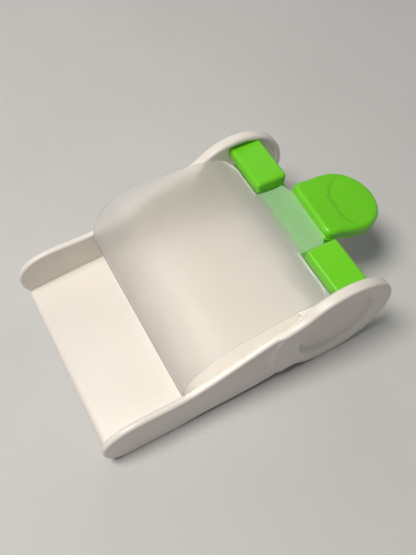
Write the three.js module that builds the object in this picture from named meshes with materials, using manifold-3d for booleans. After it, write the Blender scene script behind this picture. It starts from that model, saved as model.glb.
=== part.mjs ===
// Leaf and sushi roller: a white tray between two side plates that end in round finger grips,
// a green crossbar with two guide blocks, and a frosted sheet that lies on the tray floor,
// folds over and runs back through the guide channel to a thumb paddle.
//
// Millimetres, +Z up. While the pieces are made, y runs rearwards from the tips of the two noses,
// z runs up from the table and x = 0 is the plane of symmetry. The finished group is then moved
// so that the origin is under the middle of the whole object.
import * as THREE from 'three';
import { RoundedBoxGeometry } from 'three/addons/geometries/RoundedBoxGeometry.js';
import { mergeVertices } from 'three/addons/utils/BufferGeometryUtils.js';
import Module from 'manifold-3d';

const wasm = await Module();
wasm.setup();

// ---- Driving dimensions -------------------------------------------------------------------
const WIDTH = 110;
const BEYOND = 200; // longer than the whole object, for cutters
const GAP = 0.3; // air left between pieces that touch
const CLEARANCE = 0.1; // how far a cutter runs past the face that it opens

// Side plates: a nose, a straight top edge and a round grip at the rear
const PLATE_OUTER = 54.1;
const PLATE_INNER = 50.7;
const PLATE_TOP = 32;
const PLATE_EDGE = 1.2; // radius of the rounded rim
const FOOT_FRONT = 14;
const FOOT_REAR = 36;
const GRIP_R = 32.1;
const GRIP_Y = 128.6;
const GRIP_Z = GRIP_R;
const GRIP_INNER = 49.2;
const GRIP_EDGE = 1.6;
const RAISED_R = 39.8; // front limit of the slightly raised face around the grip

// Shallow round recess in each grip, closed by a cover plate
const RECESS_MOUTH_R = 24;
const RECESS_R = 21.3;
const RECESS_DEPTH = 3;
const COVER_R = 20.9;
const COVER_INNER = 52.3;
const COVER_OUTER = 53.5;

// Tray floor
const FLOOR_FRONT = 2.5;
const FLOOR_REAR = 134;
const FLOOR_LIP_TOP = 5.1;
const FLOOR_TOP = 9.7;
const FLOOR_LEVEL_START = 50; // the floor rises up to here and is level behind
const FLOOR_THICKNESS = 3;
const FLOOR_HALF = 51.9; // the edges sit in grooves in the plates
const GROOVE_DEPTH = 1.5;

// Crossbar and guide blocks
const BAR_FRONT = 128.6;
const BAR_REAR = 143.3;
const BAR_BOTTOM = 44.4;
const BAR_TOP = 50.4;
const BAR_HALF = GRIP_INNER - GAP;
const BAR_WALL = 2;
const BAR_POCKET_HALF = 38.5;
const BLOCK_FRONT = 125.2; // the blocks hang over in front of the bar
const BLOCK_LIP_BOTTOM = 53.2;
const BLOCK_TOP = 58.5;
const BLOCK_EDGE = 1.9;
const BLOCK_HALF = 50.4; // the outer ends sit in shallow pockets in the grips
const CHANNEL_HALF = 22.2;

// Sheet
const SHEET_THICKNESS = 0.5;
const SHEET_HALF = 48.8;
const SHEET_REAR = 123.6; // rear edge of the wide part, just in front of the blocks
const SHEET_CORNER_R = 7;
const TONGUE_HALF = 20.3;
const TONGUE_END = 138.8;
const TAIL_HALF = 12;
const FLOOR_RUN_Z = FLOOR_TOP + GAP + SHEET_THICKNESS / 2;
const CLAMP_Y = 128.5;
const CLAMP_DEPTH = 8;
const CLAMP_HALF = 47;
const CLAMP_THICKNESS = 1.6;
const CLAMP_SCREW_X = [-39, -13, 13, 39];

// Thumb paddle: made level with its front edge at y = 0, then tilted down to the rear and set
// a little askew, as it lies in its channel
const PADDLE_FRONT = 140.4;
const PADDLE_UNDERSIDE = 51.5;
const PADDLE_TILT = THREE.MathUtils.degToRad(12);
const PADDLE_ASKEW = THREE.MathUtils.degToRad(2.3);
const PADDLE_ASIDE = 1.3;
const PADDLE_LENGTH = 42;
const PADDLE_FRONT_HALF = 18.1;
const PADDLE_CORNER = 5;
const PAD_R = 19.4;
const PAD_Y = PADDLE_LENGTH - PAD_R;
const PADDLE_SPLIT = 1.95; // top of the lower shell
const PADDLE_HEIGHT = 7;
const PADDLE_TOP_EDGE = 1.7;
const PADDLE_BOTTOM_EDGE = 0.9;
const THUMB_R = 14.5;
const THUMB_DEPTH = 1;
const THUMB_Y = 24;
const PEG_R = 1.5;
const PEG_TOP = 4.4;
const PEGS = [[-8, 7], [8, 7], [0, 37.2]];

// Screws
const SCREW_R = 1.5;
const SCREW_HEAD_R = 2.7;
const SCREW_HEAD = 1.2;
const SCREW_HOLE_R = SCREW_R + GAP;
const GRIP_SCREW_Y = [132.3, 139.6];
const GRIP_SCREW_Z = 47.4;
const BLOCK_SCREW_X = [27, 35];
const BLOCK_SCREW_Y = (BAR_FRONT + BAR_REAR) / 2;

// Smoothness
const CURVE_STEPS = 7;
const EDGE_STEPS = 2;
const ROUND_STEPS = 40;
const SCREW_STEPS = 10;

// ---- Materials -----------------------------------------------------------------------------
const finish = (color, roughness, metalness = 0) => ({ color, roughness, metalness });
const WHITE = finish(0xe9e4da, 0.3);
const GREEN = finish(0x63c71a, 0.28);
const FROSTED = finish(0xdfe6e4, 0.55);
const STEEL = finish(0xa9abad, 0.35, 1);

function material(look) {
  const made = new THREE.MeshStandardMaterial(look);
  if (look === FROSTED) {
    made.transparent = true;
    made.opacity = 0.6;
  }
  return made;
}

// ---- Solids --------------------------------------------------------------------------------
function solid(geometry) {
  const bare = geometry.clone();
  bare.deleteAttribute('normal');
  bare.deleteAttribute('uv');
  const merged = mergeVertices(bare, 1e-4);
  return new wasm.Manifold(new wasm.Mesh({
    numProp: 3,
    vertProperties: merged.attributes.position.array,
    triVerts: Uint32Array.from(merged.index.array),
  }));
}

function geometryOf(body) {
  const mesh = body.getMesh();
  const geometry = new THREE.BufferGeometry();
  geometry.setAttribute('position', new THREE.BufferAttribute(mesh.vertProperties, 3));
  geometry.setIndex(new THREE.BufferAttribute(mesh.triVerts, 1));
  geometry.computeVertexNormals();
  return geometry;
}

const SIDEWAYS = new THREE.Matrix4().makeBasis(
  new THREE.Vector3(0, 1, 0),
  new THREE.Vector3(0, 0, 1),
  new THREE.Vector3(1, 0, 0),
);

function prism(shape, low, high, edge = 0) {
  const geometry = new THREE.ExtrudeGeometry(shape, {
    depth: high - low - 2 * edge,
    steps: 1,
    curveSegments: CURVE_STEPS,
    bevelEnabled: edge > 0,
    bevelThickness: edge,
    bevelSize: edge,
    bevelOffset: -edge,
    bevelSegments: EDGE_STEPS,
  });
  return geometry.translate(0, 0, low + edge);
}

// A (y, z) outline made solid between two x positions
function slab(shape, low, high, edge = 0) {
  return solid(prism(shape, low, high, edge).applyMatrix4(SIDEWAYS));
}

// An (x, y) outline made solid between two heights
const plate = (shape, low, high, edge = 0) => solid(prism(shape, low, high, edge));

function box(x, y, z) {
  const geometry = new THREE.BoxGeometry(x[1] - x[0], y[1] - y[0], z[1] - z[0]);
  geometry.translate((x[0] + x[1]) / 2, (y[0] + y[1]) / 2, (z[0] + z[1]) / 2);
  return solid(geometry);
}

function roundedBox(x, y, z, radius) {
  const geometry = new RoundedBoxGeometry(x[1] - x[0], y[1] - y[0], z[1] - z[0], 3, radius);
  geometry.translate((x[0] + x[1]) / 2, (y[0] + y[1]) / 2, (z[0] + z[1]) / 2);
  return solid(geometry);
}

// A closed (radius, height) profile turned about +Z
function turned(profile, steps = ROUND_STEPS) {
  const points = profile.map(([radius, height]) => new THREE.Vector2(radius, height));
  return new THREE.LatheGeometry(points, steps).rotateX(Math.PI / 2);
}

const rod = (radius, low, high, steps = SCREW_STEPS) =>
  turned([[0, low], [radius, low], [radius, high], [0, high]], steps);

// Points of a quarter round from one axis direction to the next, for turned profiles
function quarter(centre, radius, from, steps = 3) {
  return Array.from({ length: steps + 1 }, (_, i) => {
    const angle = from + (i / steps) * (Math.PI / 2);
    return [centre[0] + radius * Math.cos(angle), centre[1] + radius * Math.sin(angle)];
  });
}

// Turns a piece made about +Z so that +Z points out of the side (+1 right, -1 left)
const outwards = (geometry, side) => geometry.rotateY(side * Math.PI / 2);

const joined = (bodies) => bodies.reduce((all, body) => all.add(body));
const without = (body, cutters) => cutters.reduce((left, cutter) => left.subtract(cutter), body);

// ---- Screws --------------------------------------------------------------------------------
function screw(length) {
  const shank = solid(turned([
    [0, -length], [SCREW_R * 0.45, -length], [SCREW_R, 1.6 - length], [SCREW_R, 0],
    [SCREW_HEAD_R, 0], [SCREW_HEAD_R, SCREW_HEAD * 0.55],
    [SCREW_HEAD_R * 0.8, SCREW_HEAD], [0, SCREW_HEAD],
  ], SCREW_STEPS));
  const arm = SCREW_HEAD_R * 0.55;
  const half = 0.35;
  const depth = [SCREW_HEAD * 0.35, SCREW_HEAD + CLEARANCE];
  return without(shank, [
    box([-arm, arm], [-half, half], depth),
    box([-half, half], [-arm, arm], depth),
  ]);
}

// ---- Side plates ---------------------------------------------------------------------------
function gripPoint(degrees) {
  const angle = THREE.MathUtils.degToRad(degrees);
  return [GRIP_Y + GRIP_R * Math.cos(angle), GRIP_Z + GRIP_R * Math.sin(angle), angle];
}

function sideOutline() {
  const [topY, topZ, topAngle] = gripPoint(130);
  const [, , lowAngle] = gripPoint(-127);
  const outline = new THREE.Shape();
  outline.moveTo(FOOT_FRONT, 0);
  outline.bezierCurveTo(4, 0, 0, 7, 0, 16.5);
  outline.bezierCurveTo(0, 26, 8, PLATE_TOP, 22, PLATE_TOP);
  outline.lineTo(38, PLATE_TOP);
  outline.bezierCurveTo(55, PLATE_TOP, 72.7, 45, 92, 50.2);
  outline.bezierCurveTo(97.3, 51.6, 103.8, 53.2, topY, topZ);
  outline.absarc(GRIP_Y, GRIP_Z, GRIP_R, topAngle, lowAngle, true);
  outline.bezierCurveTo(106.6, 8.7, 103, 8.4, 96, 5.6);
  outline.bezierCurveTo(88, 2.4, 70, 2.4, 58, 2.4);
  outline.bezierCurveTo(48, 2.4, 44, 0, FOOT_REAR, 0);
  outline.closePath();
  return outline;
}

function gripDisc(side) {
  const edge = GRIP_EDGE;
  const outer = WIDTH / 2;
  const profile = [
    [0, GRIP_INNER],
    ...quarter([GRIP_R - edge, GRIP_INNER + edge], edge, -Math.PI / 2),
    ...quarter([GRIP_R - PLATE_EDGE, outer - PLATE_EDGE], PLATE_EDGE, 0),
    [0, outer],
  ];
  return solid(outwards(turned(profile), side).translate(0, GRIP_Y, GRIP_Z));
}

function recessCutter(side) {
  const outer = WIDTH / 2;
  const fillet = RECESS_MOUTH_R - RECESS_R;
  const profile = [
    [0, outer - RECESS_DEPTH],
    [RECESS_R, outer - RECESS_DEPTH],
    [RECESS_R, COVER_OUTER - 0.2],
    [RECESS_R + fillet * 0.12, COVER_OUTER + 0.15],
    [RECESS_R + fillet * 0.4, COVER_OUTER + 0.6],
    [RECESS_R + fillet * 0.72, COVER_OUTER + 1.15],
    [RECESS_MOUTH_R, outer],
    [RECESS_MOUTH_R, outer + 1],
    [0, outer + 1],
  ];
  return solid(outwards(turned(profile), side).translate(0, GRIP_Y, GRIP_Z));
}

// Both the plate and the bar are drilled for the screws that join them
function gripScrewHoles(side, headSeat, depthEnd) {
  return GRIP_SCREW_Y.flatMap((y) => [
    solid(outwards(rod(SCREW_HOLE_R, depthEnd, headSeat + 1), side).translate(0, y, GRIP_SCREW_Z)),
    solid(outwards(rod(SCREW_HEAD_R + 0.4, headSeat, WIDTH / 2), side)
      .translate(0, y, GRIP_SCREW_Z)),
  ]);
}

const GRIP_HEAD_SEAT = WIDTH / 2 - RECESS_DEPTH - SCREW_HEAD - GAP;

function sidePlate(side) {
  const outline = sideOutline();
  const span = (inner, outer) => (side > 0 ? [inner, outer] : [-outer, -inner]);
  const wall = slab(outline, ...span(PLATE_INNER, PLATE_OUTER), PLATE_EDGE);
  const limit = rod(RAISED_R, PLATE_INNER - 1, WIDTH / 2 + 1, ROUND_STEPS);
  const raised = slab(outline, ...span(PLATE_INNER, WIDTH / 2), PLATE_EDGE)
    .intersect(solid(outwards(limit, side).translate(0, GRIP_Y, GRIP_Z)));
  const groove = slab(floorOutline(GAP), ...span(PLATE_INNER - 2, PLATE_INNER + GROOVE_DEPTH));
  const pocket = box(
    span(GRIP_INNER - 1, BLOCK_HALF + GAP),
    [BLOCK_FRONT - GAP, BAR_REAR + GAP],
    [BAR_TOP, BLOCK_TOP + GAP],
  );
  return without(joined([wall, raised, gripDisc(side)]), [
    recessCutter(side),
    groove,
    pocket,
    ...gripScrewHoles(side, GRIP_HEAD_SEAT, GRIP_INNER - 1),
  ]);
}

function gripCover(side) {
  const profile = [
    [0, COVER_INNER], [COVER_R, COVER_INNER],
    ...quarter([COVER_R - 0.5, COVER_OUTER - 0.5], 0.5, 0, 2),
    [0, COVER_OUTER],
  ];
  return solid(outwards(turned(profile), side).translate(0, GRIP_Y, GRIP_Z));
}

// ---- Tray floor ----------------------------------------------------------------------------
// The lip at the front turns down; grow makes the outline larger for the grooves
function floorOutline(grow = 0) {
  const under = FLOOR_TOP - FLOOR_THICKNESS - grow;
  const outline = new THREE.Shape();
  outline.moveTo(FLOOR_FRONT + 1 - grow, 0.8 - grow);
  outline.quadraticCurveTo(FLOOR_FRONT - grow, 0.8 - grow, FLOOR_FRONT - grow, 1.8);
  outline.quadraticCurveTo(
    FLOOR_FRONT - grow, FLOOR_LIP_TOP + grow, FLOOR_FRONT + 3.6, FLOOR_LIP_TOP + 0.2 + grow,
  );
  outline.lineTo(FLOOR_LEVEL_START - 10, 8.9 + grow);
  outline.quadraticCurveTo(
    FLOOR_LEVEL_START - 3, FLOOR_TOP + grow, FLOOR_LEVEL_START + 6, FLOOR_TOP + grow,
  );
  outline.lineTo(FLOOR_REAR + grow, FLOOR_TOP + grow);
  outline.lineTo(FLOOR_REAR + grow, under);
  outline.lineTo(FLOOR_LEVEL_START + 6, under);
  outline.lineTo(FLOOR_FRONT + 7, 2.6 - grow);
  outline.lineTo(FLOOR_FRONT + 5, 0.8 - grow);
  outline.closePath();
  return outline;
}

function floorPanel() {
  const boss = (x) => solid(rod(3.4, 4, FLOOR_TOP - 1).translate(x, CLAMP_Y, 0));
  const hole = (x) => solid(rod(SCREW_HOLE_R, 4.8, FLOOR_TOP + 1).translate(x, CLAMP_Y, 0));
  const panel = slab(floorOutline(), -FLOOR_HALF, FLOOR_HALF);
  return without(joined([panel, ...CLAMP_SCREW_X.map(boss)]), CLAMP_SCREW_X.map(hole));
}

// ---- Crossbar and guide blocks -------------------------------------------------------------
const blockScrewPlaces = (side) => BLOCK_SCREW_X.map((x) => [side * x, BLOCK_SCREW_Y]);

function crossbar() {
  const blank = roundedBox(
    [-BAR_HALF, BAR_HALF], [BAR_FRONT, BAR_REAR], [BAR_BOTTOM, BAR_TOP], 1.1,
  );
  const pocket = box(
    [-BAR_POCKET_HALF, BAR_POCKET_HALF],
    [BAR_FRONT + BAR_WALL, BAR_REAR - BAR_WALL],
    [BAR_BOTTOM - 1, BAR_TOP - BAR_WALL],
  );
  const drillings = [-1, 1].flatMap(blockScrewPlaces).map(([x, y]) =>
    solid(rod(SCREW_HOLE_R, BAR_BOTTOM, BAR_TOP + 1).translate(x, y, 0)));
  const ends = [-1, 1].flatMap((side) => gripScrewHoles(side, GRIP_HEAD_SEAT, 41.5));
  return without(blank, [pocket, ...drillings, ...ends]);
}

function guideBlock(side) {
  const bottom = BAR_TOP + GAP;
  const x = side > 0 ? [CHANNEL_HALF, BLOCK_HALF] : [-BLOCK_HALF, -CHANNEL_HALF];
  const blank = roundedBox(x, [BLOCK_FRONT, BAR_REAR], [bottom - 1.6, BLOCK_TOP], BLOCK_EDGE);
  const foot = box([-WIDTH, WIDTH], [0, BEYOND], [bottom - 3, bottom]);
  const underLip = box([-WIDTH, WIDTH], [0, BAR_FRONT], [bottom - 3, BLOCK_LIP_BOTTOM]);
  const pilots = blockScrewPlaces(side).map(([px, py]) =>
    solid(rod(SCREW_HOLE_R, bottom - 1, bottom + 5.6).translate(px, py, 0)));
  return without(blank, [foot, underLip, ...pilots]);
}

function gripScrew(side, y) {
  const along = geometryOf(screw(9)).translate(0, 0, GRIP_HEAD_SEAT + GAP / 2);
  return solid(outwards(along, side).translate(0, y, GRIP_SCREW_Z));
}

function blockScrew([x, y]) {
  const seat = BAR_TOP - BAR_WALL - GAP / 2;
  return solid(geometryOf(screw(7.6)).rotateX(Math.PI).translate(x, y, seat));
}

// ---- Sheet ---------------------------------------------------------------------------------
// Middle line of the sheet in (y, z): clamped at the rear of the floor, forwards along it, up
// and over, back above the crossbar and into the mouth of the paddle
function sheetLine() {
  const mouth = paddlePoint(0, SHEET_SLOT);
  const tail = paddlePoint(11.5, SHEET_SLOT);
  const rise = new THREE.SplineCurve([
    [62, FLOOR_RUN_Z], [53.5, 11.4], [48.3, 15.5], [44.8, 22.5], [43.6, 31], [44.8, 39.5],
    [48.6, 48], [54.5, 54.4], [62, 58.3], [72, 60.2], [84, 60.7], [96, 60.2], [108, 58.2],
    [117, 55.4], [SHEET_REAR, 52.5], [129, 51.3], [135, 52], [mouth.y - 2, mouth.z - 0.1],
    [mouth.y + 2, mouth.z - 0.4], [tail.y, tail.z],
  ].map(([y, z]) => new THREE.Vector2(y, z)));
  return [new THREE.Vector2(FLOOR_REAR - 1, FLOOR_RUN_Z), ...rise.getPoints(76)];
}

function sheetOutline() {
  const line = sheetLine();
  const normal = (i) => {
    const before = line[Math.max(i - 1, 0)];
    const after = line[Math.min(i + 1, line.length - 1)];
    const along = after.clone().sub(before).normalize();
    return new THREE.Vector2(-along.y, along.x).multiplyScalar(SHEET_THICKNESS / 2);
  };
  const over = line.map((point, i) => point.clone().add(normal(i)));
  const under = line.map((point, i) => point.clone().sub(normal(i)));
  return new THREE.Shape([...over, ...under.reverse()]);
}

// What is cut away beside the tongue, with a round corner on the wide part
function shoulderCutter(side) {
  const corner = SHEET_HALF - SHEET_CORNER_R;
  const outside = SHEET_HALF + 2;
  const outline = new THREE.Shape();
  outline.moveTo(side * TONGUE_HALF, SHEET_REAR);
  outline.lineTo(side * corner, SHEET_REAR);
  outline.quadraticCurveTo(
    side * SHEET_HALF, SHEET_REAR, side * (SHEET_HALF + CLEARANCE), SHEET_REAR - SHEET_CORNER_R,
  );
  outline.lineTo(side * outside, SHEET_REAR - SHEET_CORNER_R);
  outline.lineTo(side * outside, BEYOND);
  outline.lineTo(side * TAIL_HALF, BEYOND);
  outline.lineTo(side * TAIL_HALF, TONGUE_END);
  outline.lineTo(side * TONGUE_HALF, TONGUE_END);
  outline.closePath();
  return plate(outline, BAR_BOTTOM, 80);
}

function sheet() {
  const blank = slab(sheetOutline(), -SHEET_HALF, SHEET_HALF);
  const clampHoles = CLAMP_SCREW_X.map((x) =>
    solid(rod(SCREW_HOLE_R, FLOOR_TOP, FLOOR_TOP + 2).translate(x, CLAMP_Y, 0)));
  const pegHoles = PEGS.map(([x, y]) => asPaddle(rod(PEG_R + GAP, 0, PADDLE_HEIGHT)
    .translate(x, y, 0)));
  return without(blank, [shoulderCutter(-1), shoulderCutter(1), ...clampHoles, ...pegHoles]);
}

const CLAMP_BOTTOM = FLOOR_RUN_Z + SHEET_THICKNESS / 2 + GAP;

function clampStrip() {
  const strip = roundedBox(
    [-CLAMP_HALF, CLAMP_HALF],
    [CLAMP_Y - CLAMP_DEPTH / 2, CLAMP_Y + CLAMP_DEPTH / 2],
    [CLAMP_BOTTOM, CLAMP_BOTTOM + CLAMP_THICKNESS],
    0.5,
  );
  return without(strip, CLAMP_SCREW_X.map((x) =>
    solid(rod(SCREW_HOLE_R, FLOOR_TOP, FLOOR_TOP + 5).translate(x, CLAMP_Y, 0))));
}

function clampScrew(x) {
  const seat = CLAMP_BOTTOM + CLAMP_THICKNESS + GAP / 2;
  return solid(geometryOf(screw(7)).translate(x, CLAMP_Y, seat));
}

// ---- Thumb paddle --------------------------------------------------------------------------
const SHEET_SLOT = PADDLE_SPLIT + GAP; // height of the sheet inside the paddle
const PADDLE_PLACE = new THREE.Matrix4()
  .makeTranslation(PADDLE_ASIDE, PADDLE_FRONT, PADDLE_UNDERSIDE)
  .multiply(new THREE.Matrix4().makeRotationZ(-PADDLE_ASKEW))
  .multiply(new THREE.Matrix4().makeRotationX(-PADDLE_TILT));

const paddlePoint = (y, z) => new THREE.Vector3(0, y, z).applyMatrix4(PADDLE_PLACE);
const asPaddle = (geometry) => solid(geometry.applyMatrix4(PADDLE_PLACE));

function paddleOutline() {
  const outline = new THREE.Shape();
  const half = PADDLE_FRONT_HALF;
  outline.moveTo(half - PADDLE_CORNER, 0);
  outline.quadraticCurveTo(half, 0, half, PADDLE_CORNER);
  outline.bezierCurveTo(half - 0.4, 12, PAD_R, 15, PAD_R, PAD_Y);
  outline.absarc(0, PAD_Y, PAD_R, 0, Math.PI, false);
  outline.bezierCurveTo(-PAD_R, 15, 0.4 - half, 12, -half, PADDLE_CORNER);
  outline.quadraticCurveTo(-half, 0, PADDLE_CORNER - half, 0);
  outline.closePath();
  return outline;
}

const mouthSlot = () => box(
  [-TAIL_HALF - 2.5, TAIL_HALF + 1.5], [-1, 12.4],
  [SHEET_SLOT - SHEET_THICKNESS / 2 - GAP, SHEET_SLOT + SHEET_THICKNESS / 2 + GAP],
);

function thumbDish() {
  const steps = 5;
  const hollow = Array.from({ length: steps + 1 }, (_, i) => {
    const radius = (i / steps) * THUMB_R;
    return [radius, PADDLE_HEIGHT - THUMB_DEPTH * (1 - (radius / THUMB_R) ** 2)];
  });
  const top = [[THUMB_R, PADDLE_HEIGHT + 1], [0, PADDLE_HEIGHT + 1]];
  return solid(turned([...hollow, ...top]).translate(0, THUMB_Y, 0));
}

function upperShell() {
  const bottom = PADDLE_SPLIT + GAP;
  const blank = plate(
    paddleOutline(), bottom - PADDLE_TOP_EDGE - 1, PADDLE_HEIGHT, PADDLE_TOP_EDGE,
  );
  const below = box([-WIDTH, WIDTH], [-5, BEYOND], [-10, bottom]);
  const hollow = solid(rod(11.5, bottom - 1, PEG_TOP, 24).translate(0, PAD_Y, 0));
  const sockets = PEGS.map(([x, y]) =>
    solid(rod(PEG_R + GAP, bottom - 1, PEG_TOP + GAP).translate(x, y, 0)));
  return without(blank, [below, thumbDish(), hollow, mouthSlot(), ...sockets]);
}

function lowerShell() {
  const blank = plate(
    paddleOutline(), 0, PADDLE_SPLIT + PADDLE_BOTTOM_EDGE + 1, PADDLE_BOTTOM_EDGE,
  );
  const above = box([-WIDTH, WIDTH], [-5, BEYOND], [PADDLE_SPLIT, 20]);
  const pegs = PEGS.map(([x, y]) => solid(rod(PEG_R, 1, PEG_TOP).translate(x, y, 0)));
  return joined([without(blank, [above, mouthSlot()]), ...pegs]);
}

const placedShell = (shell) => asPaddle(geometryOf(shell));

// ---- Assembly ------------------------------------------------------------------------------
const assembly = new THREE.Group();

function place(name, body, look) {
  const mesh = new THREE.Mesh(geometryOf(body), material(look));
  mesh.name = name;
  assembly.add(mesh);
}

place('floor_panel', floorPanel(), WHITE);
place('crossbar', crossbar(), GREEN);
for (const [name, side] of [['left', -1], ['right', 1]]) {
  place(`${name}_side_plate`, sidePlate(side), WHITE);
  place(`${name}_grip_cover`, gripCover(side), WHITE);
  place(`${name}_guide_block`, guideBlock(side), GREEN);
  GRIP_SCREW_Y.forEach((y, i) =>
    place(`${name}_crossbar_screw_${i + 1}`, gripScrew(side, y), STEEL));
  blockScrewPlaces(side).forEach((where, i) =>
    place(`${name}_block_screw_${i + 1}`, blockScrew(where), STEEL));
}
place('film_sheet', sheet(), FROSTED);
place('film_clamp_strip', clampStrip(), WHITE);
CLAMP_SCREW_X.forEach((x, i) => place(`film_clamp_screw_${i + 1}`, clampScrew(x), STEEL));
place('paddle_upper_shell', placedShell(upperShell()), GREEN);
place('paddle_lower_shell', placedShell(lowerShell()), GREEN);

// The origin goes under the middle of the whole object
assembly.position.y = -new THREE.Box3().setFromObject(assembly).getCenter(new THREE.Vector3()).y;

const group = new THREE.Group();
group.add(assembly);
export default group;
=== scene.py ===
"""Leaf roller: detailed pieces, materials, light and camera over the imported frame.

Lengths in the making functions are in millimetres: x from the plane of symmetry, y rearwards from
the tips of the two noses, z up from the table. finished() turns them into the row frame's metres.
"""

import math

import bmesh
import bpy
from mathutils import Matrix, Quaternion, Vector


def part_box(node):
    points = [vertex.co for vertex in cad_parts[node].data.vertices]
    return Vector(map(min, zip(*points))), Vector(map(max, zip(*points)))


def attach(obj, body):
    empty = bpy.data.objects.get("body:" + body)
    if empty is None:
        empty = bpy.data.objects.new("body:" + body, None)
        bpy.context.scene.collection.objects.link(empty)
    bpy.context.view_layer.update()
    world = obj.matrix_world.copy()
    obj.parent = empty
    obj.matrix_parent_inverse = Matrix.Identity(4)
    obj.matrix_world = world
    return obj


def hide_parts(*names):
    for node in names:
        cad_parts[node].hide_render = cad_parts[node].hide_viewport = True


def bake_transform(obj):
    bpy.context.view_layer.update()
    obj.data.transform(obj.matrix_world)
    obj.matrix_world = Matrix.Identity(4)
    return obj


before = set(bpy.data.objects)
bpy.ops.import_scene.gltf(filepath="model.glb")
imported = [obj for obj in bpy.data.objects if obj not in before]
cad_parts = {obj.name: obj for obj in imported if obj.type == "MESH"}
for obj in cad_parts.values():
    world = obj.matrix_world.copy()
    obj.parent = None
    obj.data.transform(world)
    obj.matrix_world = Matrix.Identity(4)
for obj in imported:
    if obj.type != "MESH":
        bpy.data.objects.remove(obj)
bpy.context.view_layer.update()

MM = 0.001
NOSE_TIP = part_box("left_side_plate")[0][1]  # y of the nose tips in the row frame
PLACE = Matrix.Translation((0, NOSE_TIP, 0)) @ Matrix.Scale(MM, 4)
SIDES = (("left", -1), ("right", 1))

# ---- Sizes -------------------------------------------------------------------------------------
# Side plates and their round grips
PLATE_INNER = 50.7
PLATE_OUTER = 54.1
PLATE_TOP = 32
PLATE_ROUND = 1.5
FOOT_FRONT = 14
FOOT_REAR = 36
GRIP_R = 32.1
GRIP_Y = 128.6
GRIP_Z = 32.1
GRIP_INNER = 49.2
GRIP_OUTER = 55
RAISED_R = 39.8
RECESS_MOUTH_R = 23.5
RECESS_R = 20.3
RECESS_FLOOR = 51.6
COVER_R = 20.2
COVER_FACE = 52.6
COVER_THICKNESS = 0.8
DISH_R = 29.3
DISH_FLOOR = 50.9

# Tray floor
FLOOR_FRONT = 2.5
FLOOR_REAR = 134
FLOOR_TOP = 9.7
FLOOR_THICKNESS = 3
FLOOR_HALF = 50.65
CLAMP_Y = 128.5
CLAMP_X = (-39, -13, 13, 39)

# Crossbar and guide blocks
BAR_FRONT = 128.6
BAR_REAR = 143.3
BAR_BOTTOM = 44.4
BAR_TOP = 50.4
BAR_HALF = 50.6
BAR_WALL = 2
BAR_POCKET_END = 38.5
BAR_RIB_X = 13
BAR_RIB_HALF = 0.8
BLOCK_FRONT = 125.2
BLOCK_BOTTOM = 50.55
BLOCK_LIP_BOTTOM = 53.2
BLOCK_TOP = 58.5
BLOCK_HALF = 51.2
BLOCK_ROUND = 1.9
CHANNEL_HALF = 22.2

# Sheet
SHEET_THICKNESS = 0.5
SHEET_HALF = 50.2
SHEET_HALF_AT_GRIPS = 48.7
SHEET_REAR = 123.6
SHEET_CORNER = 10.5
TONGUE_HALF = 20.4
TONGUE_SHIFT = -1.6
TONGUE_SHIFT_AT_PADDLE = -0.2
TONGUE_END = 138.8
TAIL_HALF = 16.1
TAIL_DEPTH = 1.2
FLOOR_RUN_Z = 10.25
SAG = 3.6  # how much lower the right side of the crown lies

# Thumb paddle, made level with its front edge at y = 0 and its underside at z = 0, then tilted
# down to the rear and set a little askew
PADDLE_TILT = math.radians(12)
PADDLE_ASKEW = math.radians(2.3)
PADDLE_ASIDE = 1.3
PADDLE_PLACE = (
    Matrix.Translation((PADDLE_ASIDE, 140.4, 51.5))
    @ Matrix.Rotation(-PADDLE_ASKEW, 4, "Z")
    @ Matrix.Rotation(-PADDLE_TILT, 4, "X")
)
PADDLE_LENGTH = 42
PADDLE_FRONT_HALF = 18.1
PADDLE_CORNER = 5.5
PAD_R = 19.4
PAD_Y = PADDLE_LENGTH - PAD_R
SPLIT = 1.95
PADDLE_HEIGHT = 7
PADDLE_ROUND = 2.4
MOUTH_HALF = 16.6
MOUTH_DEPTH = 6
MOUTH_Z = (1.7, 2.9)
THUMB_R = 19.5
THUMB_CENTRE = (3.5, 32.5)
THUMB_DEPTH = 0.6

# Screw holes
HOLE_R = 1.8
BLOCK_HOLE_TOP = 56
HEAD_ROOM_R = 3
HEAD_ROOM = (50.6, 51.95)
GRIP_SCREWS = (132.3, 139.6)
GRIP_SCREW_Z = 47.4
BLOCK_SCREWS = (27, 35)
BLOCK_SCREW_Y = (BAR_FRONT + BAR_REAR) / 2


# ---- Outlines ----------------------------------------------------------------------------------
def smooth_step(value, start, end):
    t = min(max((value - start) / (end - start), 0), 1)
    return t * t * (3 - 2 * t)


def bezier(start, first, second, end, steps=14):
    """Points of a cubic curve, without its last one."""
    points = []
    for i in range(steps):
        t = i / steps
        u = 1 - t
        weights = (u ** 3, 3 * u * u * t, 3 * u * t * t, t ** 3)
        corners = (start, first, second, end)
        points.append(sum((Vector(c) * w for c, w in zip(corners, weights)), Vector((0, 0))))
    return points


def arc(centre, radius, start, end, steps):
    """Points of an arc between two angles in degrees, without its last one."""
    angles = [math.radians(start + (end - start) * i / steps) for i in range(steps)]
    return [Vector(centre) + radius * Vector((math.cos(a), math.sin(a))) for a in angles]


def grip_point(degrees):
    angle = math.radians(degrees)
    return (GRIP_Y + GRIP_R * math.cos(angle), GRIP_Z + GRIP_R * math.sin(angle))


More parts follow.
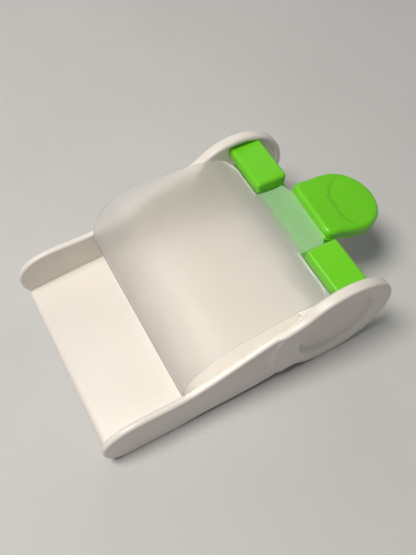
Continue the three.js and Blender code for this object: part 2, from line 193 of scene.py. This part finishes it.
def side_outline():
    """The side plate in (y, z): nose, straight top, swell, round grip and raised belly."""
    top, low = grip_point(130), grip_point(-127)
    return [
        *bezier((FOOT_FRONT, 0), (4, 0), (0, 7), (0, 16.5)),
        *bezier((0, 16.5), (0, 26), (8, PLATE_TOP), (22, PLATE_TOP)),
        Vector((22, PLATE_TOP)),
        Vector((30, PLATE_TOP)),
        *bezier((38, PLATE_TOP), (55, PLATE_TOP), (72.7, 45), (92, 50.2)),
        *bezier((92, 50.2), (97.3, 51.6), (103.8, 53.2), top, 8),
        Vector(top),
        *arc((GRIP_Y, GRIP_Z), GRIP_R - 0.8, 129, -126, 72),
        *bezier(low, (106.6, 8.7), (103, 8.4), (96, 5.6), 8),
        *bezier((96, 5.6), (88, 2.4), (70, 2.4), (58, 2.4)),
        *bezier((58, 2.4), (48, 2.4), (44, 0), (FOOT_REAR, 0), 8),
        Vector((FOOT_REAR, 0)),
    ]


def floor_outline():
    """The tray floor in (y, z): a round lip at the front, a slope, then level."""
    front = FLOOR_FRONT
    under = FLOOR_TOP - FLOOR_THICKNESS
    return [
        *bezier((front + 1.2, 0.8), (front + 0.3, 0.8), (front, 1.1), (front, 2), 5),
        *bezier((front, 2), (front, 4.3), (front + 1.4, 5), (front + 3.8, 5.35), 9),
        *bezier((front + 3.8, 5.35), (18, 7), (30, 8.3), (40, 9.1), 5),
        *bezier((40, 9.1), (46, 9.6), (50, FLOOR_TOP), (57, FLOOR_TOP), 9),
        Vector((57, FLOOR_TOP)),
        Vector((FLOOR_REAR - 0.6, FLOOR_TOP)),
        Vector((FLOOR_REAR, FLOOR_TOP - 0.6)),
        Vector((FLOOR_REAR, under + 0.4)),
        Vector((FLOOR_REAR - 0.4, under)),
        Vector((56, under)),
        Vector((front + 7, 2.6)),
        Vector((front + 5, 0.8)),
    ]


def rounded_rectangle(x, y, radius, steps=6):
    """A rectangle in (x, y) with round corners, counter-clockwise."""
    return [
        *arc((x[1] - radius, y[0] + radius), radius, -90, 0, steps),
        Vector((x[1], y[0] + radius)),
        *arc((x[1] - radius, y[1] - radius), radius, 0, 90, steps),
        Vector((x[1] - radius, y[1])),
        *arc((x[0] + radius, y[1] - radius), radius, 90, 180, steps),
        Vector((x[0], y[1] - radius)),
        *arc((x[0] + radius, y[0] + radius), radius, 180, 270, steps),
        Vector((x[0] + radius, y[0])),
    ]


def paddle_outline():
    """The paddle in (x, y): a nearly straight front that widens to a round pad."""
    half, corner = PADDLE_FRONT_HALF, PADDLE_CORNER
    right = [
        *bezier((half - corner, 0), (half - 1.8, 0), (half, 1.8), (half, corner), 8),
        *bezier((half, corner), (half - 0.3, 12), (PAD_R, 13), (PAD_R, PAD_Y), 10),
        *arc((0, PAD_Y), PAD_R, 0, 90, 24),
    ]
    left = [Vector((-point.x, point.y)) for point in reversed(right)]
    return [*right, Vector((0, PADDLE_LENGTH)), *left]


def inset(outline, distance):
    """The closed outline moved inwards along its normals."""
    count = len(outline)
    around = sum(outline[i - 1].cross(outline[i]) for i in range(count))
    turn = math.copysign(1, around)
    moved = []
    for i, point in enumerate(outline):
        along = (outline[(i + 1) % count] - outline[i - 1]).normalized()
        moved.append(point + Vector((-along.y, along.x)) * distance * turn)
    return moved


# ---- Solids ------------------------------------------------------------------------------------
def at_x(outline, x):
    return [Vector((x, y, z)) for y, z in outline]


def at_z(outline, z):
    return [Vector((x, y, z)) for x, y in outline]


def layers(outline, low, high, low_round, high_round, at, steps=5):
    """Rings of a slab between two levels whose two rims are rounded."""
    rings = []
    for i in range(steps + 1):
        angle = math.pi / 2 * i / steps
        level = low + low_round * (1 - math.cos(angle))
        rings.append(at(inset(outline, low_round * (1 - math.sin(angle))), level))
    for i in range(steps + 1):
        angle = math.pi / 2 * (1 - i / steps)
        level = high - high_round * (1 - math.cos(angle))
        rings.append(at(inset(outline, high_round * (1 - math.sin(angle))), level))
    return rings


def disc_rings(profile, centre=(GRIP_Y, GRIP_Z), at=at_x, steps=96):
    """Rings of a body turned about a line, from (radius, level) pairs."""
    return [at(arc(centre, radius, 0, 360, steps), level) for radius, level in profile]


def loft(name, rings):
    """A closed solid through rings of equal length, in millimetres."""
    shape = bmesh.new()
    rows = [[shape.verts.new(point) for point in ring] for ring in rings]
    count = len(rows[0])
    for low, high in zip(rows, rows[1:]):
        for i in range(count):
            j = (i + 1) % count
            shape.faces.new((low[i], low[j], high[j], high[i]))
    shape.faces.new(reversed(rows[0]))
    shape.faces.new(rows[-1])
    bmesh.ops.remove_doubles(shape, verts=shape.verts, dist=1e-4)
    bmesh.ops.recalc_face_normals(shape, faces=shape.faces)
    mesh = bpy.data.meshes.new(name)
    shape.to_mesh(mesh)
    shape.free()
    made = bpy.data.objects.new(name, mesh)
    bpy.context.collection.objects.link(made)
    return made


def box(x, y, z):
    outline = [Vector(p) for p in ((x[0], y[0]), (x[1], y[0]), (x[1], y[1]), (x[0], y[1]))]
    return loft("cutter", [at_z(outline, z[0]), at_z(outline, z[1])])


def rod(radius, low, high, centre, at, steps=28):
    return loft("cutter", disc_rings([(radius, low), (radius, high)], centre, at, steps))


def applied(target):
    """Turns the modifiers into mesh."""
    graph = bpy.context.evaluated_depsgraph_get()
    mesh = bpy.data.meshes.new_from_object(target.evaluated_get(graph))
    target.modifiers.clear()
    target.data = mesh
    return target


def combined(target, tools, operation):
    for tool in tools:
        step = target.modifiers.new(operation, "BOOLEAN")
        step.operation = operation
        step.solver = "EXACT"
        step.object = tool
    applied(target)
    for tool in tools:
        bpy.data.objects.remove(tool)
    return target


def finished(target, material, body, replaces, sharp=38):
    """Sets the piece in the row frame, with its material, smooth shading, body and CAD nodes."""
    target.data.transform(PLACE)
    target.data.shade_smooth()
    target.data.set_sharp_from_angle(angle=math.radians(sharp))
    even = target.modifiers.new("even_faces", "WEIGHTED_NORMAL")
    even.keep_sharp = True
    target.data.materials.clear()
    target.data.materials.append(material)
    if body:
        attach(target, body)
    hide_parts(*replaces)
    return target


# ---- Materials ---------------------------------------------------------------------------------
def material(name):
    """A node material: (material, node tree, principled shader, object coordinates)."""
    made = bpy.data.materials.new(name)
    made.use_nodes = True
    tree = made.node_tree
    shader = tree.nodes["Principled BSDF"]
    place = tree.nodes.new("ShaderNodeTexCoord").outputs["Object"]
    return made, tree, shader, place


def noise(tree, place, scale, detail=3.0, roughness=0.55):
    node = tree.nodes.new("ShaderNodeTexNoise")
    node.inputs["Scale"].default_value = scale
    node.inputs["Detail"].default_value = detail
    node.inputs["Roughness"].default_value = roughness
    tree.links.new(place, node.inputs["Vector"])
    return node.outputs["Fac"]


def spread(tree, value, low, high, start=0.3, end=0.7):
    """Maps a noise value to a range of numbers."""
    node = tree.nodes.new("ShaderNodeMapRange")
    for socket, number in zip(node.inputs[1:5], (start, end, low, high)):
        socket.default_value = number
    tree.links.new(value, node.inputs["Value"])
    return node.outputs["Result"]


def tinted(tree, value, colours):
    """Maps a value from 0 to 1 to colours spaced evenly."""
    ramp = tree.nodes.new("ShaderNodeValToRGB")
    stops = ramp.color_ramp.elements
    while len(stops) < len(colours):
        stops.new(0.5)
    for i, (stop, colour) in enumerate(zip(stops, colours)):
        stop.position = 0.25 + 0.5 * i / (len(colours) - 1)
        stop.color = (*colour, 1)
    tree.links.new(value, ramp.inputs["Fac"])
    return ramp.outputs["Color"]


def bumped(tree, shader, heights):
    """Adds bumps one on the other, from (height, strength, distance in metres)."""
    normal = None
    for height, strength, distance in heights:
        node = tree.nodes.new("ShaderNodeBump")
        node.inputs["Strength"].default_value = strength
        node.inputs["Distance"].default_value = distance
        tree.links.new(height, node.inputs["Height"])
        if normal:
            tree.links.new(normal, node.inputs["Normal"])
        normal = node.outputs["Normal"]
    tree.links.new(normal, shader.inputs["Normal"])


def moulded_plastic(name, colours, gloss, waviness):
    """Glossy moulding: uneven tone, gloss that varies, and a faint orange peel."""
    made, tree, shader, place = material(name)
    cloud = noise(tree, place, 26, 4)
    tree.links.new(tinted(tree, cloud, colours), shader.inputs["Base Color"])
    smear = noise(tree, place, 70, 1, 0.4)
    tree.links.new(spread(tree, smear, *gloss, 0.15, 0.85), shader.inputs["Roughness"])
    shader.inputs["IOR"].default_value = 1.49
    bumped(tree, shader, [(noise(tree, place, 60, 0), waviness, 0.001)])
    return made


def frosted(name, colour, transmission, roughness):
    """Frosted sheet: fine grain in its gloss and surface, light passes through it blurred."""
    made, tree, shader, place = material(name)
    grain = noise(tree, place, 1900, 3, 0.7)
    cloud = noise(tree, place, 60, 3)
    darker = tuple(c * 0.97 for c in colour)
    tree.links.new(tinted(tree, cloud, (darker, colour)), shader.inputs["Base Color"])
    tree.links.new(spread(tree, grain, *roughness), shader.inputs["Roughness"])
    shader.inputs["Transmission Weight"].default_value = transmission
    shader.inputs["IOR"].default_value = 1.3
    bumped(tree, shader, [(grain, 0.25, 0.0001)])
    let_light_through(tree, shader, 0.7)
    return made


def let_light_through(tree, shader, share):
    """Lamps reach what lies under the sheet, as they do through the real one."""
    clear = tree.nodes.new("ShaderNodeBsdfTransparent")
    path = tree.nodes.new("ShaderNodeLightPath")
    scaled = tree.nodes.new("ShaderNodeMath")
    scaled.operation = "MULTIPLY"
    scaled.inputs[1].default_value = share
    mix = tree.nodes.new("ShaderNodeMixShader")
    tree.links.new(path.outputs["Is Shadow Ray"], scaled.inputs[0])
    tree.links.new(scaled.outputs["Value"], mix.inputs["Fac"])
    tree.links.new(shader.outputs["BSDF"], mix.inputs[1])
    tree.links.new(clear.outputs["BSDF"], mix.inputs[2])
    tree.links.new(mix.outputs["Shader"], tree.nodes["Material Output"].inputs["Surface"])


def turned_steel(name):
    made, tree, shader, place = material(name)
    fine = noise(tree, place, 2600, 4)
    tones = ((0.36, 0.36, 0.37), (0.56, 0.56, 0.58))
    tree.links.new(tinted(tree, fine, tones), shader.inputs["Base Color"])
    tree.links.new(spread(tree, fine, 0.25, 0.45), shader.inputs["Roughness"])
    shader.inputs["Metallic"].default_value = 1
    bumped(tree, shader, [(fine, 0.2, 0.00005)])
    return made


def floor_paint(name):
    made, tree, shader, place = material(name)
    cloud = noise(tree, place, 9, 4)
    tones = ((0.54, 0.535, 0.525), (0.58, 0.575, 0.565))
    tree.links.new(tinted(tree, cloud, tones), shader.inputs["Base Color"])
    tree.links.new(spread(tree, cloud, 0.7, 0.85), shader.inputs["Roughness"])
    bumped(tree, shader, [(noise(tree, place, 500, 3), 0.08, 0.0002)])
    return made


WHITE = moulded_plastic(
    "white_moulding", ((0.76, 0.715, 0.65), (0.80, 0.755, 0.69)), (0.3, 0.42), 0.03,
)
GREEN = moulded_plastic(
    "green_moulding", ((0.135, 0.58, 0.010), (0.165, 0.65, 0.014)), (0.29, 0.38), 0.05,
)
# Painted shade: the crossbar is the same green plastic as the blocks, made darker to stand for the
# shadow it lies in under the blocks and the sheet's tongue
CROSSBAR_PAINTED_SHADE_GREEN = moulded_plastic(
    "crossbar_moulding_painted_shade", ((0.05, 0.30, 0.02), (0.065, 0.35, 0.025)), (0.3, 0.4), 0.05,
)
FILM = frosted("frosted_film", (0.87, 0.86, 0.845), 0.9, (0.42, 0.55))
FILM_EDGE = frosted("frosted_film_edge", (0.95, 0.96, 0.96), 0.25, (0.3, 0.4))
STEEL = turned_steel("screw_steel")


# ---- Side plates and grips ---------------------------------------------------------------------
def quarter(radius, level, size, start, steps=6):
    """(radius, level) pairs of a quarter round about a centre."""
    return [
        (
            radius + size * math.cos(start + math.pi / 2 * i / steps),
            level + size * math.sin(start + math.pi / 2 * i / steps),
        )
        for i in range(steps + 1)
    ]


def grip_rings():
    """The grip from its dished inner face, round the rim, to the recess in its outer face."""
    inner_round, outer_round = 1.7, 1.4
    slope = [i / 10 for i in range(11)]
    recess = [
        (
            RECESS_MOUTH_R + (RECESS_R - RECESS_MOUTH_R) * t,
            GRIP_OUTER + (COVER_FACE - GRIP_OUTER) * smooth_step(t, 0, 1),
        )
        for t in slope
    ]
    profile = [
        (1, DISH_FLOOR),
        (DISH_R - 1.6, DISH_FLOOR),
        (DISH_R - 0.6, DISH_FLOOR - 0.3),
        (DISH_R, GRIP_INNER + 0.15),
        (DISH_R + 0.6, GRIP_INNER),
        *quarter(GRIP_R - inner_round, GRIP_INNER + inner_round, inner_round, -math.pi / 2),
        *quarter(GRIP_R - outer_round, GRIP_OUTER - outer_round, outer_round, 0),
        *recess,
        (RECESS_R, RECESS_FLOOR),
        (1, RECESS_FLOOR),
    ]
    return disc_rings(profile, steps=128)


def side_plate(name, side):
    outline = side_outline()
    plate = loft(name, layers(outline, PLATE_INNER, PLATE_OUTER, 1.3, PLATE_ROUND, at_x))
    face = GRIP_OUTER - 0.02
    raised = loft("raised", layers(outline, PLATE_INNER + 1, face, 1, PLATE_ROUND, at_x))
    rise = GRIP_OUTER - PLATE_OUTER
    slope = [
        (RAISED_R + 1 - 3.2 * t, PLATE_OUTER + rise * smooth_step(t, 0, 1))
        for t in (i / 8 for i in range(9))
    ]
    limit = loft("limit", disc_rings(
        [(RAISED_R + 1, PLATE_INNER), *slope, (RAISED_R - 2.2, GRIP_OUTER + 1)], steps=128,
    ))
    combined(raised, [limit], "INTERSECT")
    combined(plate, [raised], "UNION")
    bore = rod(GRIP_R - 2.4, GRIP_INNER - 1, GRIP_OUTER + 1, (GRIP_Y, GRIP_Z), at_x, 100)
    combined(plate, [bore], "DIFFERENCE")
    combined(plate, [loft("grip", grip_rings())], "UNION")
    pocket = box(
        (GRIP_INNER - 1, BLOCK_HALF + 0.2), (BLOCK_FRONT - 0.2, BAR_REAR + 0.2),
        (BAR_BOTTOM - 0.3, BLOCK_TOP + 0.2),
    )
    groove = box(
        (GRIP_INNER - 1, PLATE_INNER), (90, FLOOR_REAR + 0.2),
        (FLOOR_TOP - FLOOR_THICKNESS - 0.1, FLOOR_TOP + 0.1),
    )
    combined(plate, [pocket, groove, *grip_head_rooms()], "DIFFERENCE")
    if side < 0:
        mirror(plate)
    return finished(plate, WHITE, "base", [name])


def grip_head_rooms():
    """Closed room for the heads of the screws that hold the crossbar, behind the grip cover."""
    return [rod(HEAD_ROOM_R, *HEAD_ROOM, (y, GRIP_SCREW_Z), at_x) for y in GRIP_SCREWS]


def mirror(target):
    target.data.transform(Matrix.Scale(-1, 4, (1, 0, 0)))
    target.data.flip_normals()


def grip_cover(name, side):
    edge = 0.15
    cover = loft(name, disc_rings([
        (1, COVER_FACE - COVER_THICKNESS),
        (COVER_R, COVER_FACE - COVER_THICKNESS),
        *quarter(COVER_R - edge, COVER_FACE - edge, edge, 0, 4),
        (1, COVER_FACE),
    ]))
    combined(cover, grip_head_rooms(), "DIFFERENCE")
    if side < 0:
        mirror(cover)
    return finished(cover, WHITE, "base", [name])


# ---- Tray floor, crossbar and guide blocks -----------------------------------------------------
def floor_panel():
    outline = floor_outline()
    panel = loft("tray_floor", [at_x(outline, -FLOOR_HALF), at_x(outline, FLOOR_HALF)])
    bosses = [rod(3.4, 4, FLOOR_TOP - 1, (x, CLAMP_Y), at_z) for x in CLAMP_X]
    holes = [rod(HOLE_R, 4.8, FLOOR_TOP + 1, (x, CLAMP_Y), at_z) for x in CLAMP_X]
    combined(panel, bosses, "UNION")
    combined(panel, holes, "DIFFERENCE")
    return finished(panel, WHITE, "base", ["floor_panel"])


def crossbar():
    outline = rounded_rectangle((-BAR_HALF, BAR_HALF), (BAR_FRONT, BAR_REAR), 1.2)
    bar = loft("green_crossbar", layers(outline, BAR_BOTTOM, BAR_TOP, 0.8, 1.1, at_z))
    inside = (BAR_FRONT + BAR_WALL, BAR_REAR - BAR_WALL)
    edge, gap = BAR_RIB_X + BAR_RIB_HALF, BAR_RIB_X - BAR_RIB_HALF
    pockets = [
        box(x, inside, (BAR_BOTTOM - 1, BAR_TOP - BAR_WALL))
        for x in ((-BAR_POCKET_END, -edge), (-gap, gap), (edge, BAR_POCKET_END))
    ]
    holes = [
        rod(HOLE_R, BAR_BOTTOM, BAR_TOP + 1, (side * x, BLOCK_SCREW_Y), at_z)
        for x in BLOCK_SCREWS for side in (-1, 1)
    ]
    start = BAR_POCKET_END - 0.5
    bores = [
        rod(HOLE_R, *sorted((side * start, side * (BAR_HALF + 1))), (y, GRIP_SCREW_Z), at_x)
        for y in GRIP_SCREWS for side in (-1, 1)
    ]
    combined(bar, [*pockets, *holes, *bores], "DIFFERENCE")
    # The crossbar takes the darker green, which is painted shade
    return finished(bar, CROSSBAR_PAINTED_SHADE_GREEN, "base", ["crossbar"])


def guide_block(name, side):
    beyond = BLOCK_HALF + 2 * BLOCK_ROUND
    outline = rounded_rectangle((CHANNEL_HALF, beyond), (BLOCK_FRONT, BAR_REAR), BLOCK_ROUND)
    block = loft(name, layers(outline, BLOCK_BOTTOM, BLOCK_TOP, 0.3, BLOCK_ROUND, at_z, 6))
    under_lip = box(
        (0, beyond + 1), (BLOCK_FRONT - 1, BAR_FRONT), (BLOCK_BOTTOM - 1, BLOCK_LIP_BOTTOM),
    )
    holes = [
        rod(HOLE_R, BLOCK_BOTTOM - 1, BLOCK_HOLE_TOP, (x, BLOCK_SCREW_Y), at_z) for x in BLOCK_SCREWS
    ]
    end = box((BLOCK_HALF, beyond + 1), (BLOCK_FRONT - 1, BAR_REAR + 1), (0, BLOCK_TOP + 1))
    combined(block, [under_lip, end, *holes], "DIFFERENCE")
    if side < 0:
        mirror(block)
    return finished(block, GREEN, "base", [name])


# ---- Thumb paddle ------------------------------------------------------------------------------
def mouth():
    return box((-MOUTH_HALF, MOUTH_HALF), (-1, MOUTH_DEPTH), MOUTH_Z)


def tilt_relief(depth, z):
    """Room in a shell's front edge for the sheet's tail when the paddle is tilted up."""
    return box((-MOUTH_HALF, MOUTH_HALF), (-1, depth), z)


def thumb_height(x, y, from_rim):
    """Height of the paddle's top: it steps down behind a wide arc and rises again to the rear."""
    behind = THUMB_R - (Vector((x, y)) - Vector(THUMB_CENTRE)).length
    step = smooth_step(behind, 0, 1.5) * (1 - smooth_step(y, 14, 38))
    return PADDLE_HEIGHT - THUMB_DEPTH * step * smooth_step(from_rim, 0, 0.15)


def paddle_upper():
    outline = paddle_outline()
    rings = [at_z(inset(outline, 0.35), SPLIT + 0.05), at_z(outline, SPLIT + 0.4)]
    for i in range(9):
        angle = math.pi / 2 * i / 8
        level = PADDLE_HEIGHT - PADDLE_ROUND * (1 - math.sin(angle))
        rings.append(at_z(inset(outline, PADDLE_ROUND * (1 - math.cos(angle))), level))
    rim = inset(outline, PADDLE_ROUND)
    middle = Vector((0, PAD_Y))
    for share in (i / 40 for i in range(1, 40)):
        ring = [point.lerp(middle, share) for point in rim]
        rings.append([Vector((x, y, thumb_height(x, y, share))) for x, y in ring])
    shell = combined(
        loft("paddle_top", rings), [mouth(), tilt_relief(0.35, (2.5, 3.5))], "DIFFERENCE",
    )
    shell.data.transform(PADDLE_PLACE)
    return finished(shell, GREEN, "paddle", ["paddle_upper_shell"], 50)


def paddle_lower():
    outline = inset(paddle_outline(), -0.2)
    shell = loft("paddle_base", layers(outline, 0, SPLIT, 0.9, 0.25, at_z))
    combined(shell, [mouth(), tilt_relief(TAIL_DEPTH + 0.4, (0.7, 2.8))], "DIFFERENCE")
    shell.data.transform(PADDLE_PLACE)
    return finished(shell, GREEN, "paddle", ["paddle_lower_shell"], 50)


# ---- Frosted sheet -----------------------------------------------------------------------------
def sheet_line():
    """Middle line of the sheet in (y, z), evenly spaced, from its clamp to the paddle's mouth."""
    mouth_start = PADDLE_PLACE @ Vector((0, 0, SPLIT + 0.3))
    mouth_end = PADDLE_PLACE @ Vector((0, TAIL_DEPTH, SPLIT + 0.3))
    knots = [
        (FLOOR_REAR - 1, FLOOR_RUN_Z), (98, FLOOR_RUN_Z), (62, FLOOR_RUN_Z), (53.5, 11.4),
        (48.3, 15.5), (44.8, 22.5), (43.6, 31), (44.8, 39.5), (48.6, 48), (54.5, 54.4),
        (62, 58.3), (72, 60.2), (84, 60.7), (96, 60.2), (108, 58.2), (117, 55.4),
        (SHEET_REAR, 52.5), (129, 51.3), (135, 52), (mouth_start.y, mouth_start.z),
        (mouth_end.y, mouth_end.z),
    ]
    knots = [Vector(knot) for knot in knots]
    line = []
    for i in range(len(knots) - 1):
        before = knots[max(i - 1, 0)]
        start, end = knots[i], knots[i + 1]
        after = knots[min(i + 2, len(knots) - 1)]
        steps = max(8, round((end - start).length * 2))
        for step in range(steps):
            t = step / steps
            line.append(0.5 * (
                2 * start + (end - before) * t
                + (2 * before - 5 * start + 4 * end - after) * t * t
                + (3 * start - before - 3 * end + after) * t ** 3
            ))
    return [*line, knots[-1]]


def distances(line):
    """How far along the line each of its points is."""
    so_far = [0.0]
    for start, end in zip(line, line[1:]):
        so_far.append(so_far[-1] + (end - start).length)
    return so_far


def along(line, so_far, distance):
    """The point at a distance along the line."""
    last = len(line) - 2
    i = min(max(sum(1 for d in so_far if d <= distance) - 1, 0), last)
    share = (distance - so_far[i]) / (so_far[i + 1] - so_far[i])
    return line[i].lerp(line[i + 1], min(max(share, 0), 1))


def sheet_point(x, point):
    """A point of the sheet; the crown's right side lies lower, and the tail turns to the paddle."""
    y, z = point
    askew = smooth_step(y, 131, 139.5) * smooth_step(z, 30, 45)
    high = smooth_step(z, 25, 56) * (1 - smooth_step(y, 84, 120))
    across = smooth_step(x, -30, SHEET_HALF)
    return (x, y + (PADDLE_ASIDE - x) * math.tan(PADDLE_ASKEW) * askew, z - SAG * high * across)


def row_places(rear, total):
    """Distances along the sheet of its rows: the wide part, its round corners, the tongue."""
    corner = rear - SHEET_CORNER
    wide = [corner * i / 96 for i in range(96)]
    rounded = [rear - SHEET_CORNER * (1 - i / 12) ** 2 for i in range(13)]
    tongue = [rear + (total - rear) * i / 26 for i in range(1, 27)]
    return [*wide, *rounded, *tongue]


def row_columns(point, distance, rear, total):
    """The x of each point across one row, the tongue's width in the middle."""
    y = point.x
    to_paddle = smooth_step(distance, rear, total - 3)
    to_tail = smooth_step(y, TONGUE_END, TONGUE_END + 2) if point.y > 40 else 0
    inner = TONGUE_HALF + (TAIL_HALF - TONGUE_HALF) * to_tail
    shift = TONGUE_SHIFT + (TONGUE_SHIFT_AT_PADDLE - TONGUE_SHIFT) * to_paddle
    shift += (PADDLE_ASIDE - shift) * to_tail
    middle = [shift + inner * (i / 10 - 1) for i in range(21)]
    if distance > rear + 1e-6:
        return middle
    half = SHEET_HALF + (SHEET_HALF_AT_GRIPS - SHEET_HALF) * smooth_step(y, 50, 97)
    bend = 1 - math.sqrt(min(max((rear - distance) / SHEET_CORNER, 0), 1))
    half -= SHEET_CORNER * bend * bend
    reach = [i / 14 for i in range(14)]
    left = [-half + (middle[0] + half) * share for share in reach]
    right = [half - (half - middle[-1]) * share for share in reversed(reach)]
    return [*left, *middle, *right]


def sheet_mesh(line, so_far):
    """The sheet without its thickness."""
    total = so_far[-1]
    rear = next(
        distance for distance, point in zip(so_far, line)
        if point.x >= SHEET_REAR and point.y > 40
    )
    shape = bmesh.new()
    rows = []
    for distance in row_places(rear, total):
        point = along(line, so_far, distance)
        columns = row_columns(point, distance, rear, total)
        rows.append([shape.verts.new(sheet_point(x, point)) for x in columns])
    for low, high in zip(rows, rows[1:]):
        trim = (len(low) - len(high)) // 2
        low = low[trim:len(low) - trim] if trim else low
        for i in range(len(low) - 1):
            shape.faces.new((low[i], low[i + 1], high[i + 1], high[i]))
    mesh = bpy.data.meshes.new("frosted_sheet")
    shape.to_mesh(mesh)
    shape.free()
    return mesh


def film():
    line = sheet_line()
    so_far = distances(line)
    mesh = sheet_mesh(line, so_far)
    sheet = bpy.data.objects.new("frosted_sheet", mesh)
    bpy.context.collection.objects.link(sheet)
    for look in (FILM, FILM_EDGE):
        mesh.materials.append(look)
    thick = sheet.modifiers.new("thickness", "SOLIDIFY")
    thick.thickness = SHEET_THICKNESS
    thick.offset = 0
    thick.material_offset_rim = 1
    applied(sheet)
    clamp_holes = [
        rod(HOLE_R, FLOOR_TOP - 1, FLOOR_TOP + 2, (x, CLAMP_Y), at_z) for x in CLAMP_X
    ]
    combined(sheet, clamp_holes, "DIFFERENCE")
    looks = [face.material_index for face in sheet.data.polygons]
    finished(sheet, FILM, None, ["film_sheet"], 60)
    sheet.data.materials.append(FILM_EDGE)
    sheet.data.polygons.foreach_set("material_index", looks)
    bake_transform(sheet)


# ---- Making it all -----------------------------------------------------------------------------
floor_panel()
crossbar()
for word, direction in SIDES:
    side_plate(f"{word}_side_plate", direction)
    grip_cover(f"{word}_grip_cover", direction)
    guide_block(f"{word}_guide_block", direction)
film()
paddle_upper()
paddle_lower()

for node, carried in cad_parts.items():
    if "screw" in node or node == "film_clamp_strip":
        carried.data.materials.clear()
        carried.data.materials.append(STEEL if "screw" in node else WHITE)


# ---- Floor, light and camera -------------------------------------------------------------------
def stage_floor():
    half = 1.6
    corners = [(-half, -half, 0), (half, -half, 0), (half, half, 0), (-half, half, 0)]
    mesh = bpy.data.meshes.new("studio_floor")
    mesh.from_pydata(corners, [], [(0, 1, 2, 3)])
    ground = bpy.data.objects.new("studio_floor", mesh)
    bpy.context.collection.objects.link(ground)
    mesh.materials.append(floor_paint("studio_floor"))


def area_light(name, place, aim, size, power, colour):
    lamp = bpy.data.lights.new(name, "AREA")
    lamp.shape = "DISK"
    lamp.size = size
    lamp.energy = power
    lamp.color = colour
    made = bpy.data.objects.new(name, lamp)
    bpy.context.collection.objects.link(made)
    made.location = place
    made.rotation_euler = (Vector(aim) - Vector(place)).to_track_quat("-Z", "Y").to_euler()


def studio():
    area_light("key", (-0.03, -0.38, 0.92), (0, 0, 0.02), 0.36, 8.6, (1, 0.96, 0.91))
    area_light("fill", (-0.8, 0.5, 0.6), (0, 0, 0.02), 0.6, 1.0, (1, 0.98, 0.96))
    world = bpy.data.worlds.new("soft_room")
    world.use_nodes = True
    sky = world.node_tree.nodes["Background"]
    sky.inputs["Color"].default_value = (0.93, 0.95, 1, 1)
    sky.inputs["Strength"].default_value = 0.17
    bpy.context.scene.world = world
    bpy.context.scene.view_settings.view_transform = "Standard"


def photo_camera():
    """The photograph's viewpoint: from the front right, well above, slightly rolled."""
    place = Vector((0.14482, NOSE_TIP - 0.01236, 0.32066))
    direction = Vector((-0.42893, 0.28814, -0.85611))
    roll = math.radians(5.49)
    camera = bpy.data.cameras.new("photo_camera")
    camera.lens = 42.48
    camera.sensor_width = 36
    camera.clip_start = 0.01
    made = bpy.data.objects.new("photo_camera", camera)
    bpy.context.collection.objects.link(made)
    made.location = place
    made.rotation_mode = "QUATERNION"
    level = direction.to_track_quat("-Z", "Y")
    made.rotation_quaternion = level @ Quaternion((0, 0, 1), roll)
    bpy.context.scene.camera = made


stage_floor()
studio()
photo_camera()
